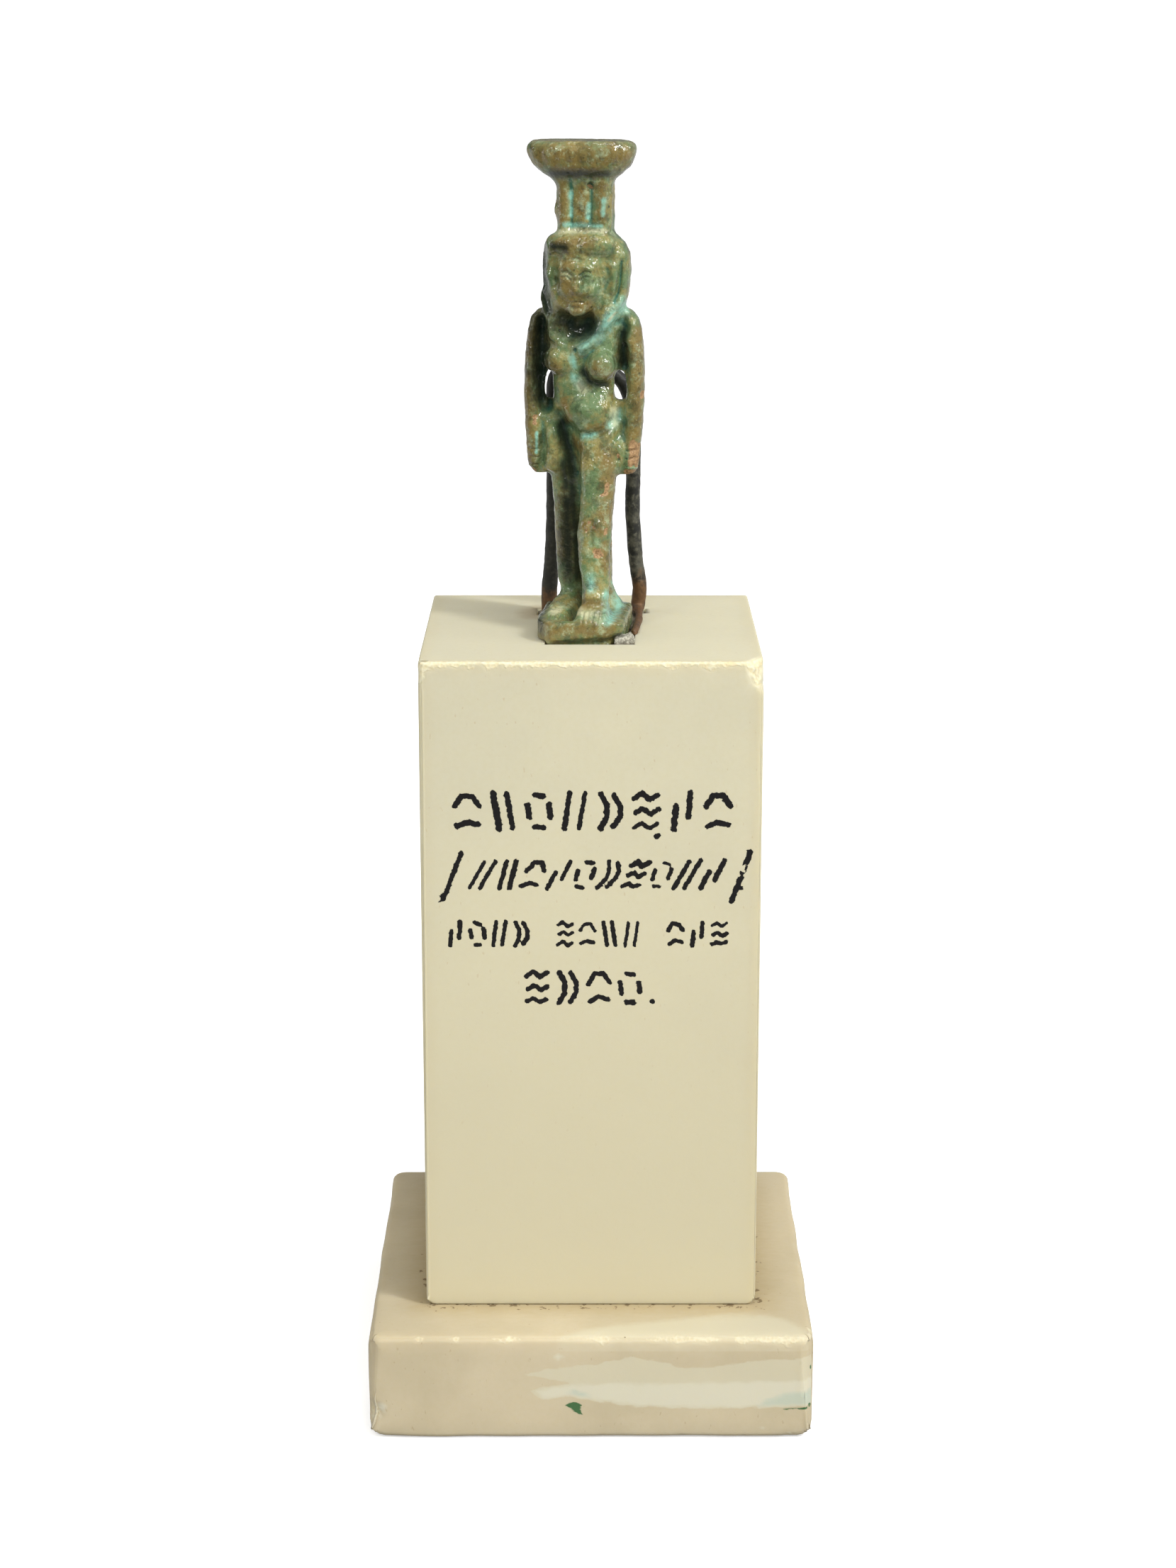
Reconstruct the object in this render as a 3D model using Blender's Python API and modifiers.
"""A glazed faience figurine of a standing goddess, held by a bent wire on an alabaster plinth and slab.

Metres, +Z up. The origin is the middle of the slab's underside and she faces -Y.
"""

import math

import bmesh
import bpy
from mathutils import Matrix, Vector

# Slab and plinth
SLAB_WIDTH = 0.040
SLAB_DEPTH = 0.040
SLAB_HEIGHT = 0.010
SLAB_CORNER_RADIUS = 0.0016
SLAB_EDGE_RADIUS = 0.0008
PLINTH_WIDTH = 0.030
PLINTH_DEPTH = 0.030
PLINTH_HEIGHT = 0.060
PLINTH_SETBACK = 0.00204
PLINTH_EDGE_RADIUS = 0.00035
CHIP_SIZE = 0.0017

# The figure on the plinth
FIGURE_HEIGHT = 0.0438
FIGURE_SIDE_OFFSET = -0.00085
FIGURE_FORWARD_OFFSET = 0.00204
FIGURE_TURN = math.radians(-9.0)
FOOT_WIDTH = 0.0079
FOOT_DEPTH = 0.0105
FOOT_THICKNESS = 0.0022
FOOT_SIDE_SHIFT = 0.0003
FOOT_TURN = math.radians(3.5)
FOOT_SINK = 0.0003
BROKEN_SHARE = 0.5
PILLAR_WIDTH = 0.0042
PILLAR_BACK = 0.00475

# The socket, the wire and the plaster
SOCKET_DEPTH = 0.0015
CLEARANCE = 0.0003
PLASTER_SETBACK = 0.0011
LUMP_SIZE = 0.0017
WIRE_RADIUS = 0.0007
WIRE_TAIL_RADIUS = 0.0003
WIRE_TAIL_SWELL = 1.1
WIRE_HEIGHT = 0.0235
WIRE_SPAN = 0.0073
WIRE_SIDE_SHIFT = 0.0011
WIRE_LEG_SPLAY = 0.0005
WIRE_TAIL_REACH = 0.0092

# Fineness of the solids
GRAIN = 0.00021
PLASTER_GRAIN = 0.00025
FIGURE_FACES_KEPT = 0.082
PLASTER_FACES_KEPT = 0.25
SECTION_SIDES = 28

# Levels and places that follow from the sizes above
PLINTH_TOP = SLAB_HEIGHT + PLINTH_HEIGHT
FOOT_BOTTOM = PLINTH_TOP - FOOT_SINK
SOCKET_FLOOR = PLINTH_TOP - SOCKET_DEPTH
BODY_UNITS = 416
UNIT = (FIGURE_HEIGHT - FOOT_THICKNESS) / BODY_UNITS
FIGURE_PLACE = Vector((FIGURE_SIDE_OFFSET, PLINTH_SETBACK - FIGURE_FORWARD_OFFSET, FOOT_BOTTOM))
WIRE_BACK = FIGURE_PLACE.y + PILLAR_BACK + abs(FIGURE_TURN) * PILLAR_WIDTH / 2 + CLEARANCE + WIRE_RADIUS


# Scene helpers

def clear_scene():
    for old in list(bpy.data.objects):
        bpy.data.objects.remove(old, do_unlink=True)


def new_collection(name):
    made = bpy.data.collections.new(name)
    bpy.context.scene.collection.children.link(made)
    return made


def new_material(name, colour, roughness, metallic=0.0):
    made = bpy.data.materials.new(name)
    made.use_nodes = True
    shader = made.node_tree.nodes["Principled BSDF"]
    shader.inputs["Base Color"].default_value = (*colour, 1.0)
    shader.inputs["Roughness"].default_value = roughness
    shader.inputs["Metallic"].default_value = metallic
    made.diffuse_color = (*colour, 1.0)
    return made


def object_from(bm, name, collection, material=None):
    """A named object with the bmesh as its mesh, its normals facing out."""
    bmesh.ops.recalc_face_normals(bm, faces=bm.faces)
    mesh = bpy.data.meshes.new(name)
    bm.to_mesh(mesh)
    bm.free()
    made = bpy.data.objects.new(name, mesh)
    collection.objects.link(made)
    if material:
        mesh.materials.append(material)
        mesh.shade_smooth()
        mesh.set_sharp_from_angle(angle=math.radians(40))
    return made


def as_cutter(made):
    made.hide_render = True
    made.display_type = "WIRE"
    return made


def cut_away(target, cutter):
    cut = target.modifiers.new("cut by " + cutter.name, "BOOLEAN")
    cut.operation = "DIFFERENCE"
    cut.solver = "EXACT"
    cut.object = cutter


def add_bevel(target, width, segments):
    bevel = target.modifiers.new("rounded edges", "BEVEL")
    bevel.width = width
    bevel.segments = segments
    bevel.limit_method = "ANGLE"


def add_clay_skin(target, grain, faces_kept, smoothing):
    """Fuses overlapping shapes into one skin, softens it and thins its faces."""
    skin = target.modifiers.new("one skin", "REMESH")
    skin.mode = "VOXEL"
    skin.voxel_size = grain
    skin.use_smooth_shade = True
    if smoothing:
        soft = target.modifiers.new("soft", "SMOOTH")
        soft.factor = 0.5
        soft.iterations = smoothing
    thin = target.modifiers.new("fewer faces", "DECIMATE")
    thin.ratio = faces_kept


# Shape helpers

def add_box(bm, low, high):
    low = Vector(low)
    high = Vector(high)
    size = high - low
    place = Matrix.Translation((low + high) / 2) @ Matrix.Diagonal((*size, 1.0))
    bmesh.ops.create_cube(bm, size=1.0, matrix=place)


def add_ball(bm, centre, radii):
    place = Matrix.Translation(centre) @ Matrix.Diagonal((*radii, 1.0))
    bmesh.ops.create_uvsphere(bm, u_segments=24, v_segments=14, radius=1.0, matrix=place)


def add_limb(bm, start, end, start_radius, end_radius):
    """A tapered round bar with ball ends."""
    start = Vector(start)
    end = Vector(end)
    run = end - start
    aim = run.to_track_quat("Z", "Y").to_matrix().to_4x4()
    place = Matrix.Translation((start + end) / 2) @ aim
    bmesh.ops.create_cone(bm, cap_ends=True, segments=20, radius1=start_radius, radius2=end_radius,
                          depth=run.length, matrix=place)
    add_ball(bm, start, [start_radius] * 3)
    add_ball(bm, end, [end_radius] * 3)


def section_points(half_width, half_depth, squareness):
    """Points round a section: squareness 2 is an ellipse, and more comes nearer to a rectangle."""
    points = []
    for index in range(SECTION_SIDES):
        angle = 2 * math.pi * index / SECTION_SIDES
        across = math.copysign(abs(math.cos(angle)) ** (2 / squareness), math.cos(angle))
        along = math.copysign(abs(math.sin(angle)) ** (2 / squareness), math.sin(angle))
        points.append((half_width * across, half_depth * along))
    return points


def add_loft(bm, sections, squareness=2.2, lying=False):
    """A skin through sections of (station, centre x, other centre, half width, half of the other).

    A standing loft climbs along Z through level sections, and a lying one runs along Y through upright ones.
    """
    rings = []
    for station, centre_x, other, half_width, half_other in sections:
        ring = []
        for across, along in section_points(half_width, half_other, squareness):
            point = (centre_x + across, other + along, station)
            if lying:
                point = (centre_x + across, station, other + along)
            ring.append(bm.verts.new(point))
        rings.append(ring)
    for lower, upper in zip(rings, rings[1:]):
        for index in range(SECTION_SIDES):
            after = (index + 1) % SECTION_SIDES
            bm.faces.new((lower[index], lower[after], upper[after], upper[index]))
    bm.faces.new(list(reversed(rings[0])))
    bm.faces.new(rings[-1])


def add_prism(bm, outline, bottom, top):
    """An upright prism on a flat outline of (x, y) points."""
    corners = [bm.verts.new((x, y, bottom)) for x, y in outline]
    floor = bm.faces.new(corners)
    grown = bmesh.ops.extrude_face_region(bm, geom=[floor])
    risen = [item for item in grown["geom"] if isinstance(item, bmesh.types.BMVert)]
    bmesh.ops.translate(bm, verts=risen, vec=(0, 0, top - bottom))


def smooth_route(points, steps):
    """Points of an even curve through the given (x, y, z, radius) points."""
    ends = [points[0]] + list(points) + [points[-1]]
    route = []
    for before, here, after, beyond in zip(ends, ends[1:], ends[2:], ends[3:]):
        for step in range(steps):
            t = step / steps
            point = []
            for a, b, c, d in zip(before, here, after, beyond):
                curve = 2 * b + (c - a) * t + (2 * a - 5 * b + 4 * c - d) * t * t
                point.append(0.5 * (curve + (3 * b - a - 3 * c + d) * t ** 3))
            route.append(point)
    route.append(list(points[-1]))
    return route


# The stones

def make_slab(collection, material):
    bm = bmesh.new()
    half_width = SLAB_WIDTH / 2
    half_depth = SLAB_DEPTH / 2
    add_box(bm, (-half_width, -half_depth, 0), (half_width, half_depth, SLAB_HEIGHT))
    upright = [edge for edge in bm.edges if abs(edge.verts[0].co.z - edge.verts[1].co.z) > SLAB_HEIGHT / 2]
    bmesh.ops.bevel(bm, geom=upright, offset=SLAB_CORNER_RADIUS, segments=4, affect="EDGES", profile=0.5)
    slab = object_from(bm, "base_slab", collection, material)
    add_bevel(slab, SLAB_EDGE_RADIUS, 3)
    return slab


def make_plinth(collection, cutters, material):
    bm = bmesh.new()
    half_width = PLINTH_WIDTH / 2
    front = PLINTH_SETBACK - PLINTH_DEPTH / 2
    back = PLINTH_SETBACK + PLINTH_DEPTH / 2
    add_box(bm, (-half_width, front, SLAB_HEIGHT + CLEARANCE), (half_width, back, PLINTH_TOP))
    plinth = object_from(bm, "plinth", collection, material)
    add_bevel(plinth, PLINTH_EDGE_RADIUS, 2)
    cut_away(plinth, make_socket_cutter(cutters))
    cut_away(plinth, make_chip_cutter(cutters, Vector((half_width, front, PLINTH_TOP))))
    return plinth


def make_chip_cutter(cutters, corner):
    """The break at the plinth's top right front corner, a block set askew over it."""
    bm = bmesh.new()
    add_box(bm, [-CHIP_SIZE] * 3, [CHIP_SIZE] * 3)
    chip = as_cutter(object_from(bm, "corner_chip", cutters))
    outwards = Vector((1.0, -0.8, 0.7)).normalized()
    bite = 0.28
    chip.location = corner + outwards * CHIP_SIZE * (1 - bite)
    chip.rotation_mode = "QUATERNION"
    chip.rotation_quaternion = outwards.to_track_quat("Z", "Y")
    return chip


# The figure's own base, its place in the plinth's socket, and the plaster round it

def foot_outline(growth=0.0, broken=False):
    """The corners of her base in her own frame, grown outwards by growth.

    Both front corners are cut off, and the lower part of the right one is broken further back.
    """
    left = FOOT_SIDE_SHIFT - FOOT_WIDTH / 2 - growth
    right = FOOT_SIDE_SHIFT + FOOT_WIDTH / 2 + growth
    back = PILLAR_BACK + growth
    front = PILLAR_BACK - FOOT_DEPTH - growth
    left_cut = 0.17 * FOOT_WIDTH
    right_cut = (0.17 if broken else 0.05) * FOOT_WIDTH
    slant = 0.06 * FOOT_DEPTH
    corners = [(left + left_cut, front), (right - right_cut, front + slant),
               (right, front + slant + 1.6 * right_cut), (right, back), (left, back),
               (left, front + 1.6 * left_cut)]
    turn = Matrix.Rotation(FOOT_TURN, 2)
    return [tuple(turn @ Vector(corner)) for corner in corners]


def on_plinth(points):
    """Flat points of the figure's own frame moved to her place on the plinth."""
    turn = Matrix.Rotation(FIGURE_TURN, 2)
    place = FIGURE_PLACE.xy
    return [tuple(turn @ Vector(point) + place) for point in points]


def wire_leg_x(side):
    """Where the middle of a leg enters the plinth: side -1 is the viewer's left."""
    return FIGURE_PLACE.x + WIRE_SIDE_SHIFT + side * (WIRE_SPAN / 2 + WIRE_LEG_SPLAY)


def wire_leg_y():
    return WIRE_BACK + 0.14 * WIRE_HEIGHT


def slot_width():
    """The room between her base and the socket's right wall, where the wire's tail lies."""
    return 1.7 * CLEARANCE + 2 * WIRE_TAIL_RADIUS * WIRE_TAIL_SWELL


def socket_outline(shrink=0.0):
    """The socket in the plinth's top, with its notch for the wire's right leg."""
    base = on_plinth(foot_outline())
    left = min(x for x, y in base) - CLEARANCE + shrink
    front = min(y for x, y in base) - CLEARANCE + shrink
    slot_front = base[2][0] + slot_width() - shrink
    slot_back = base[3][0] + slot_width() - shrink
    reach = WIRE_RADIUS + CLEARANCE
    left = min(left, wire_leg_x(-1) - reach + shrink)
    notch_side = max(wire_leg_x(1) + reach - shrink, slot_back)
    notch_front = wire_leg_y() - reach - WIRE_RADIUS + shrink
    back = wire_leg_y() + reach - shrink
    return [(left, front), (slot_front, front), (slot_back, base[3][1]), (slot_back, notch_front),
            (notch_side, notch_front), (notch_side, back), (left, back)]


def make_socket_cutter(cutters):
    bm = bmesh.new()
    add_prism(bm, socket_outline(), SOCKET_FLOOR, PLINTH_TOP + SOCKET_DEPTH)
    return as_cutter(object_from(bm, "socket", cutters))


def make_plaster(collection, cutters, wire, material):
    """The bed under her base, the fill round the wire's legs and the lump at her base's right corner."""
    bottom = SOCKET_FLOOR + CLEARANCE
    bed_top = FOOT_BOTTOM - CLEARANCE * 1.2
    fill_top = PLINTH_TOP - CLEARANCE / 2
    outline = socket_outline(CLEARANCE)
    front = outline[0][1]
    back_of_base = max(y for x, y in on_plinth(foot_outline(CLEARANCE)))
    broken_top = FOOT_BOTTOM + BROKEN_SHARE * FOOT_THICKNESS
    bm = bmesh.new()
    bed = [(x, max(y, front + PLASTER_SETBACK)) for x, y in outline]
    add_prism(bm, bed, bottom, bed_top)
    fill = [(x, max(y, back_of_base)) for x, y in outline if y > back_of_base]
    fill = [(outline[0][0], back_of_base), (outline[2][0] - WIRE_TAIL_RADIUS, back_of_base)] + fill
    add_prism(bm, fill, bottom, fill_top)
    corner_x = outline[1][0]
    for aside, behind, size in ((0.22, 0.24, 0.30), (0.62, 0.20, 0.26), (0.95, 0.22, 0.24),
                                (0.30, 0.60, 0.30), (0.66, 0.55, 0.28), (0.26, 1.05, 0.26),
                                (0.24, 1.50, 0.22)):
        radius = LUMP_SIZE * size
        middle = (corner_x - aside * LUMP_SIZE, front + behind * LUMP_SIZE)
        add_ball(bm, (*middle, PLINTH_TOP + 0.6 * radius), (radius, radius, 1.2 * radius))
        add_limb(bm, (*middle, bottom + 0.8 * radius), (*middle, PLINTH_TOP), 0.8 * radius, 0.9 * radius)
    plaster = object_from(bm, "fixing_plaster", collection, material)
    add_clay_skin(plaster, PLASTER_GRAIN, PLASTER_FACES_KEPT, 1)
    for name, broken, low, high in (("base_room", True, FOOT_BOTTOM, broken_top),
                                    ("upper_base_room", False, broken_top, PLINTH_TOP + FOOT_THICKNESS)):
        room = bmesh.new()
        add_prism(room, on_plinth(foot_outline(CLEARANCE, broken)), low - CLEARANCE, high)
        cut_away(plaster, as_cutter(object_from(room, name, cutters)))
    cut_away(plaster, make_wire_room(cutters, wire))
    return plaster


# The wire

def wire_route():
    """Points of (x, y, z, share of the radius), from the tail by her base over the arch to the left leg."""
    middle = FIGURE_PLACE.x + WIRE_SIDE_SHIFT
    half_span = WIRE_SPAN / 2
    leg_y = wire_leg_y()
    lean = WIRE_BACK - leg_y
    base = on_plinth(foot_outline())
    tail_share = WIRE_TAIL_RADIUS / WIRE_RADIUS
    tail_z = FOOT_BOTTOM + WIRE_TAIL_RADIUS + CLEARANCE / 2
    front_corner = Vector(base[2])
    back_corner = Vector(base[3])
    side_slope = (back_corner.x - front_corner.x) / (back_corner.y - front_corner.y)
    right_foot = wire_leg_x(1)
    points = []
    tail_end = leg_y - 2.4 * WIRE_RADIUS
    for share in (0.0, 0.35, 0.7, 1.0):
        y = tail_end - (1 - share) * WIRE_TAIL_REACH
        beside = front_corner.x + (min(y, back_corner.y) - front_corner.y) * side_slope
        x = beside + CLEARANCE + WIRE_TAIL_RADIUS
        points.append((x, y, tail_z, tail_share * (1 + (WIRE_TAIL_SWELL - 1) * share)))
    points.append((right_foot, leg_y - 0.25 * WIRE_RADIUS, PLINTH_TOP + 0.75 * WIRE_RADIUS, 0.95))
    # The right leg wanders a little, being bent by hand: (share of the height, sideways share of the span).
    for height, sideways in ((0.10, 0.09), (0.18, 0.05), (0.32, 0.01), (0.42, -0.01), (0.54, 0.0),
                             (0.70, 0.0)):
        x = middle + half_span + sideways * WIRE_SPAN
        points.append((x, leg_y + lean * height, PLINTH_TOP + WIRE_HEIGHT * height, 1.0))
    for across, height in ((0.975, 0.80), (0.88, 0.88), (0.66, 0.935), (0.36, 0.965), (0.0, 0.975),
                           (-0.36, 0.98), (-0.72, 0.975), (-0.94, 0.945), (-0.995, 0.88), (-0.985, 0.80)):
        points.append((middle + across * half_span, leg_y + lean * min(1.0, height + 0.02),
                       PLINTH_TOP + WIRE_HEIGHT * height, 1.0))
    for height, sideways in ((0.68, 0.0), (0.52, 0.0), (0.34, 0.01), (0.20, 0.03), (0.10, 0.06)):
        x = middle - half_span - sideways * WIRE_SPAN
        points.append((x, leg_y + lean * height, PLINTH_TOP + WIRE_HEIGHT * height, 1.0 + 1.5 * sideways))
    points.append((wire_leg_x(-1), leg_y, SOCKET_FLOOR + 2 * CLEARANCE, 1.0))
    return points


def make_wire_curve(name, collection, growth=0.0):
    curve = bpy.data.curves.new(name, "CURVE")
    curve.dimensions = "3D"
    curve.bevel_depth = WIRE_RADIUS + growth
    curve.bevel_resolution = 2
    curve.use_fill_caps = True
    route = smooth_route(wire_route(), 3)
    spline = curve.splines.new("POLY")
    spline.points.add(len(route) - 1)
    for point, (x, y, z, share) in zip(spline.points, route):
        point.co = (x, y, z, 1.0)
        point.radius = (share * WIRE_RADIUS + growth) / (WIRE_RADIUS + growth)
    made = bpy.data.objects.new(name, curve)
    collection.objects.link(made)
    return made


def make_wire(collection, material):
    wire = make_wire_curve("support_wire", collection)
    wire.data.materials.append(material)
    return wire


def make_wire_room(cutters, wire):
    """The wire grown by the clearance, as a closed mesh that can cut."""
    fat = make_wire_curve("wire_room_curve", cutters, CLEARANCE)
    evaluated = fat.evaluated_get(bpy.context.evaluated_depsgraph_get())
    bm = bmesh.new()
    bm.from_mesh(bpy.data.meshes.new_from_object(evaluated))
    bmesh.ops.remove_doubles(bm, verts=bm.verts, dist=1e-6)
    room = as_cutter(object_from(bm, "wire_room", cutters))
    room.matrix_world = wire.matrix_world
    bpy.data.objects.remove(fat, do_unlink=True)
    return room


# The figure, laid out in units above the top of her base: 416 units tall, x to her left, y to her back

def add_legs(bm):
    # Her left leg strides forward, her right stays back against the pillar.
    add_loft(bm, [(-8, 16, -26, 13, 15), (6, 16, -25.5, 12.5, 13), (17, 16, -24, 12.5, 11.5),
                  (40, 15, -18, 14, 12.5), (56, 14, -14, 14.5, 13), (71, 13, -10, 15.5, 14),
                  (94, 14.5, -4, 15, 14.5), (110, 15, 1, 15.5, 15.5), (134, 14, 5, 16, 16.5),
                  (155, 12, 8, 15, 15)])
    add_loft(bm, [(-8, -12, 18, 12, 15), (8, -11.5, 18, 10.5, 12), (18, -11, 18, 10.5, 11.5),
                  (28, -12, 18, 12.5, 12.5), (42, -12.5, 18, 13, 13), (71, -13, 18, 14, 13.5),
                  (94, -13, 17, 14.5, 14), (110, -14, 17, 15.2, 14), (134, -15, 18, 15.5, 13),
                  (155, -14, 21, 14, 12)])
    # The faience left standing between the striding leg and the pillar.
    add_loft(bm, [(-8, 13, 10, 9, 30), (30, 12.5, 12, 7.5, 25), (110, 10, 16, 8, 17)], squareness=4)
    # Glaze runs out from the pillar's foot over the base.
    add_loft(bm, [(-8, 9, 24, 28, 26), (3, 10, 25, 24, 22), (12, 9, 27, 18, 17), (30, 7, 30, 14, 13)])


def add_feet(bm):
    add_loft(bm, [(-54, 15, -6, 9, 6), (-50, 15, -5, 13.5, 8.5), (-44, 15, -2, 14.5, 10),
                  (-35, 15.5, 3, 13.8, 12.5), (-24, 16, 4, 12.5, 15), (-8, 16, 2, 12, 13)],
             squareness=2.8, lying=True)
    add_loft(bm, [(-42, -18, -7, 9, 5), (-34, -18, -6, 14, 8), (-20, -16.5, -3, 15, 9.5),
                  (-4, -14.5, 2, 13.5, 11.5), (10, -12, 4, 12, 13), (28, -12, 2, 12, 12)],
             squareness=2.6, lying=True)
    add_ball(bm, (-14, -8, -6), (25, 38, 9))


def add_torso(bm):
    add_loft(bm, [(104, 0, 21, 27, 12), (120, 0, 21, 29.5, 13), (134, 0, 21, 30, 14),
                  (150, 0, 20.5, 29.5, 14.5), (165, 0, 18.5, 29, 15), (182, 0, 14.5, 28.3, 16),
                  (198, 0, 14, 27.6, 16), (210, 0, 14, 28, 16), (224, 0, 14, 30.5, 17),
                  (240, 0, 15, 33, 17), (254, -0.5, 17, 35, 15), (264, -1.5, 19, 33, 13),
                  (270, -1.5, 19, 26, 11)])
    # The striding side of the body stands in front of the other hip, which falls away behind it.
    add_loft(bm, [(112, 15, 9, 14, 14), (126, 15.5, 9, 14, 15), (139, 15, 9, 15, 16), (150, 13, 9, 17, 16),
                  (163, 11, 9, 19.5, 14.5), (178, 6, 9, 22.5, 14), (192, 2, 11, 24, 14)])
    # The breasts, then the belly and what lies below its crease.
    add_ball(bm, (18, -1.5, 221), (13.2, 12.5, 13))
    add_ball(bm, (-22, 2, 225), (14, 10.5, 11))
    add_ball(bm, (4, 4.5, 181), (22, 12, 18))
    add_ball(bm, (13, 5, 150), (16, 12.5, 13))
    # Thin webs of faience join the arms to the shoulders and to the hips, with a gap at the waist between.
    for low, high in ((215, 262), (124, 181)):
        add_loft(bm, [(low, 0, 19, 37, 5), (low + 5, 0, 19, 39, 9), (high - 5, 0, 19, 39, 9),
                      (high, 0, 19, 37, 5)], squareness=4)


def add_arm(bm, side):
    """An arm straight down, the closed hand against the thigh: side -1 is the viewer's left."""
    thin = 0.86 if side > 0 else 1.0
    outline = ((269, 42, 9, 9), (261, 49, 12, 12), (250, 51.7, 12.7, 13.5), (238, 53, 12, 14),
               (222, 54, 11.5, 13.5), (210, 54.3, 10, 12.5), (198, 54.4, 9.3, 12), (186, 54.2, 10, 12),
               (165, 53.2, 10, 11), (150, 52, 9.6, 10.5), (141, 51.2, 10.3, 12.5),
               (131, 50.4, 10.3, 12.5), (123, 47, 7.5, 9.5))
    sections = []
    for z, outer, half_width, half_depth in outline:
        slim = half_width * (thin if z > 155 else 1.0)
        sections.append((z, side * (outer - slim), 13.5 + max(0, z - 150) * 0.07, slim, half_depth))
    add_loft(bm, sections)
    # The thumb lies along the front of the right-hand fist, and the left-hand one is folded onto the hip.
    if side > 0:
        add_limb(bm, (34, 4, 148), (33, 5, 131), 4.5, 4.5)
    else:
        add_limb(bm, (-27, 5, 163), (-26, 4, 131), 6, 6.5)


def add_wig(bm):
    add_loft(bm, [(258, 0.5, 20, 28, 14), (268, 1, 18, 34, 17), (277, 1.6, 16, 36.8, 20),
                  (287, 2.2, 15, 38.6, 21.5), (303, 2.7, 15, 39.6, 22.5), (319, 2.4, 15, 39.2, 22),
                  (328, 1, 15, 35.5, 20.5), (335, 0, 15, 29, 18)], squareness=2.6)
    # The two lappets come down over the shoulders and lean in towards the breast.
    for side, foot_x, foot_z in ((1, 9, 241), (-1, -19, 247)):
        for outward in (0, 5):
            top = (side * (26 + 0.8 * outward), 6 + outward, 286 - outward)
            foot = (foot_x + side * outward, 2 + 0.4 * outward, foot_z + 0.3 * outward)
            add_limb(bm, top, foot, 9, 7)
    # A band runs round the brow.
    add_loft(bm, [(319, -0.5, 6, 28, 17), (322, -0.5, 5, 31.5, 20), (331, -0.5, 6, 32, 20),
                  (335, -0.5, 8, 28, 17.5)], squareness=2.6)


def add_face(bm):
    """A calm, even face set by the usual rule of thirds, and the tips of the ears beside it."""
    chin = 264
    brow = 321
    height = brow - chin
    half_width = 22
    front = -15.5
    middle_x = -2.5
    middle = (chin + brow) / 2
    add_ball(bm, (middle_x, front + 15, middle + 2), (half_width, 15, height / 2 + 2))
    add_ball(bm, (middle_x, front + 10.5, chin + 0.20 * height), (half_width * 0.58, 10, 0.20 * height))
    nose_top = chin + 0.72 * height
    nose_foot = chin + 0.42 * height
    add_limb(bm, (middle_x, front + 1.6, nose_top), (middle_x, front - 0.8, nose_foot), 2.0, 3.2)
    for side in (-1, 1):
        add_ball(bm, (middle_x + side * 8.8, front + 3.2, chin + 0.68 * height), (5.2, 3.0, 2.3))
        add_limb(bm, (middle_x + side * 3.5, front + 1.9, chin + 0.83 * height),
                 (middle_x + side * 15, front + 5.4, chin + 0.82 * height), 1.7, 1.3)
        add_ball(bm, (middle_x + side * 10.5, front + 5.0, chin + 0.45 * height), (6.5, 5.0, 7.0))
        add_ball(bm, (middle_x + side * 26, -1.5, chin + 0.63 * height), (3.2, 5.5, 6.5))
    add_ball(bm, (middle_x, front + 1.8, chin + 0.27 * height), (5.2, 2.8, 1.7))
    add_ball(bm, (middle_x, front + 2.4, chin + 0.215 * height), (4.4, 2.8, 1.7))


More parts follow.
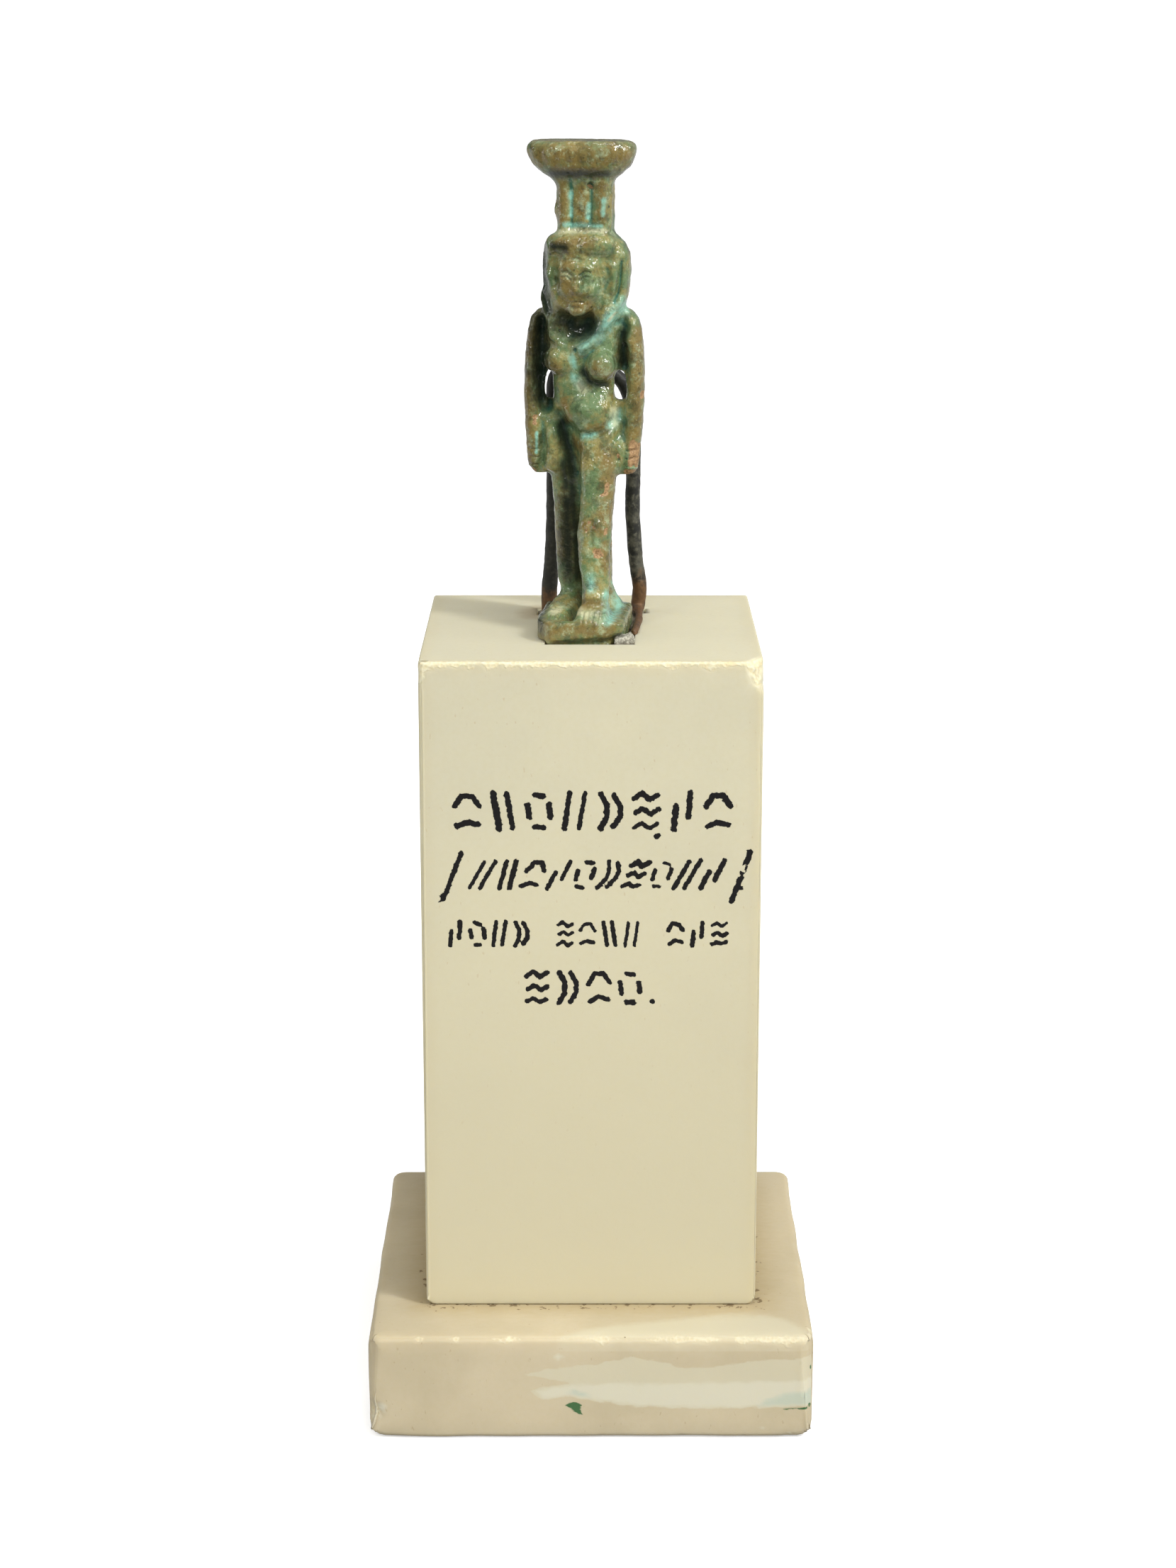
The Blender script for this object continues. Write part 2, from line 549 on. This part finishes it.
def add_headdress(bm):
    """The house sign, three upright fillets on its front and back, with the broad basket on it."""
    bottom = 333
    top = 391
    middle_x = 2
    middle_y = 14
    half_width = 24.3
    half_depth = 17
    add_loft(bm, [(bottom, middle_x, middle_y, half_width + 1.5, half_depth + 1.5),
                  (bottom + 7, middle_x, middle_y, half_width - 1, half_depth - 1),
                  (top, middle_x, middle_y, half_width - 1, half_depth - 1)], squareness=6)
    for index in range(3):
        x = middle_x + (index - 1) * 0.68 * half_width
        for side in (-1, 1):
            y = middle_y + side * (half_depth - 4.5)
            add_limb(bm, (x, y, bottom + 7), (x, y, top), 5.8, 5.8)
    for side in (-1, 1):
        x = middle_x + side * (half_width - 3)
        for y in (middle_y - 7, middle_y + 7):
            add_limb(bm, (x, y, bottom + 7), (x, y, top), 3.8, 3.8)
    add_ball(bm, (middle_x - half_width + 2, middle_y - 5, 357), (5.5, 8, 9))
    add_loft(bm, [(378, 0.5, 13, 25, 17), (383, 0, 13, 28.5, 19), (388, -0.5, 13, 36, 22.5),
                  (394, -1, 13, 43, 26), (401, -1.5, 13, 47.2, 28), (408, -1.5, 13, 48.8, 28.5),
                  (412.5, -1.5, 13, 48, 27.5), (416, -1.5, 13, 43, 24)], squareness=2.5)


def add_pillar(bm):
    half_width = PILLAR_WIDTH / 2 / UNIT
    half_depth = 11
    middle_y = PILLAR_BACK / UNIT - half_depth
    add_loft(bm, [(-8, 0, middle_y, half_width + 1, half_depth), (338, 0, middle_y, half_width, half_depth)],
             squareness=9)


def make_figure(collection, material):
    bm = bmesh.new()
    for add in (add_legs, add_feet, add_torso, add_wig, add_face, add_headdress, add_pillar):
        add(bm)
    for side in (-1, 1):
        add_arm(bm, side)
    bmesh.ops.scale(bm, vec=[UNIT] * 3, verts=bm.verts)
    bmesh.ops.translate(bm, vec=(0, 0, FOOT_THICKNESS), verts=bm.verts)
    add_prism(bm, foot_outline(broken=True), 0, FOOT_THICKNESS)
    add_prism(bm, foot_outline(), BROKEN_SHARE * FOOT_THICKNESS, FOOT_THICKNESS)
    figure = object_from(bm, "figurine", collection, material)
    figure.location = FIGURE_PLACE
    figure.rotation_euler = (0, 0, FIGURE_TURN)
    add_clay_skin(figure, GRAIN, FIGURE_FACES_KEPT, 2)
    return figure


# Build

def build():
    clear_scene()
    parts = new_collection("nephthys_figurine")
    cutters = new_collection("cutters")
    alabaster = new_material("pale_alabaster", (0.68, 0.62, 0.44), 0.45)
    slab_stone = new_material("beige_alabaster", (0.57, 0.48, 0.33), 0.5)
    faience = new_material("green_faience", (0.16, 0.22, 0.12), 0.2)
    iron = new_material("dark_iron", (0.03, 0.026, 0.02), 0.7, 0.6)
    plaster_white = new_material("grey_plaster", (0.5, 0.5, 0.44), 0.9)
    make_slab(parts, slab_stone)
    make_plinth(parts, cutters, alabaster)
    make_figure(parts, faience)
    wire = make_wire(parts, iron)
    make_plaster(parts, cutters, wire, plaster_white)


build()
